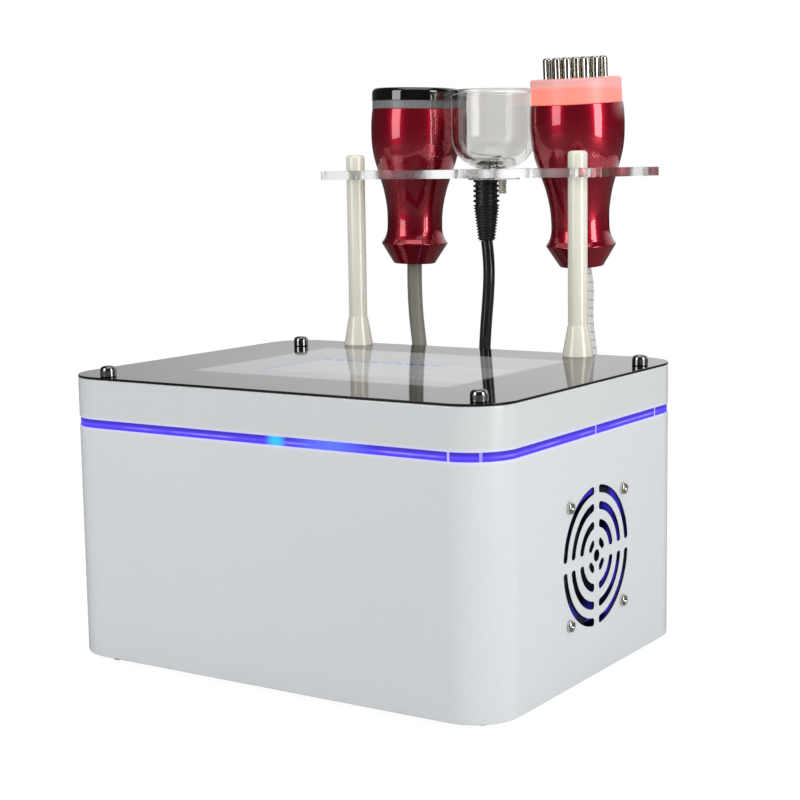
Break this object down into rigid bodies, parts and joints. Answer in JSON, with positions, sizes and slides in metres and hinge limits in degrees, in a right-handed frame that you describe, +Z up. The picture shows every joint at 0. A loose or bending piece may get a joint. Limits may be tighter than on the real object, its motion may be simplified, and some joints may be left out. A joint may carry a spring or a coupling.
{
  "type": "vacuum cupping machine",
  "caption": "Desk-top vacuum therapy machine: a case with a touch screen and a cooling fan, and a clear holder on posts for massage handsets and a suction cup on cords.",
  "frame": {"origin": "on the table, under the middle of the case", "axes": "+X to the right along the front of the case, +Y from the front to the back, +Z up"},
  "size_m": [0.3925, 0.446, 0.3905],
  "materials": {
    "case_silver": "satin",
    "black_gloss": "gloss",
    "black_matte": "matte",
    "grey_matte": "satin",
    "clear": "clear",
    "light_band": "translucent, lit from behind",
    "light_ring": "frosted, lit from inside",
    "screen_glass": "lit display under glass",
    "display": "matte",
    "red_metallic": "metallic lacquer",
    "ivory": "gloss",
    "steel": "polished",
    "chrome": "polished",
    "rubber_black": "matte",
    "cord_grey": "satin silicone",
    "cord_black": "gloss silicone",
    "cord_white": "satin, spirally wrapped",
    "hose_clear": "soft, cloudy",
    "board_green": "satin",
    "board_white": "satin",
    "zinc": "satin"
  },
  "bodies": {
    "machine": {"lower_shell": "case_silver", "upper_cover": "case_silver", "top_sheet": "black_gloss", "light_guide": "light_band", "led_strip": "board_white", "rubber_feet": "rubber_black", "touch_screen": "screen_glass", "display_panel": "display", "cap_screws": "chrome", "pillars": "zinc", "pillar_screws": "steel", "fan_frame": "black_matte", "fan_screws": "steel", "rear_panel": "black_matte", "panel_screws": "steel", "handset_sockets": "chrome", "mains_inlet": "black_matte", "pump_mounts": "rubber_black", "pump_bracket": "zinc", "pump_head": "grey_matte", "pump_motor": "zinc", "air_valve": "grey_matte", "pump_hose": "hose_clear", "socket_hose": "hose_clear", "power_supply": "zinc", "board_standoffs": "zinc", "control_board": "board_green", "holder_posts": "ivory", "post_feet": "ivory", "post_caps": "ivory", "post_nuts": "steel", "holder_plate": "clear", "left_plug": "black_matte", "cup_plug": "black_matte", "right_plug": "black_matte", "left_drop": "cord_grey", "left_coil": "cord_grey", "left_return": "cord_grey", "cup_drop": "cord_black", "cup_coil": "cord_black", "cup_return": "cord_black", "right_drop": "cord_white", "right_coil": "cord_white", "right_return": "cord_white"},
    "left_handset": {"left_barrel": "red_metallic", "left_ring": "grey_matte", "left_cap": "black_gloss", "left_core": "black_matte"},
    "cup_handset": {"vacuum_cup": "clear", "cup_stem": "clear", "cup_boot": "rubber_black", "air_nipple": "ivory"},
    "right_handset": {"right_barrel": "red_metallic", "light_ring": "light_ring", "pin_plate": "light_ring", "steel_pins": "steel", "led_board": "board_white"},
    "fan": {"fan_rotor": "black_matte"},
    "rocker": {"power_rocker": "black_gloss"},
    "drawer": {"fuse_drawer": "black_matte"}
  },
  "joints": [
    {"name": "left_lift", "type": "slide", "parent": "machine", "child": "left_handset", "axis": [0, 0, 1], "range_m": [0, 0.08]},
    {"name": "cup_lift", "type": "slide", "parent": "machine", "child": "cup_handset", "axis": [0, 0, 1], "range_m": [0, 0.08]},
    {"name": "right_lift", "type": "slide", "parent": "machine", "child": "right_handset", "axis": [0, -0.0698, 0.9976], "range_m": [0, 0.08]},
    {"name": "fan_spin", "type": "hinge", "parent": "machine", "child": "fan", "pos_m": [0.1445, 0, 0.0795], "axis": [1, 0, 0], "continuous": true},
    {"name": "rocker_tilt", "type": "hinge", "parent": "machine", "child": "rocker", "pos_m": [-0.037, 0.1259, 0.088], "axis": [1, 0, 0], "range_deg": [-20, 0]},
    {"name": "drawer_slide", "type": "slide", "parent": "machine", "child": "drawer", "axis": [0, 1, 0], "range_m": [0, 0.018]}
  ]
}
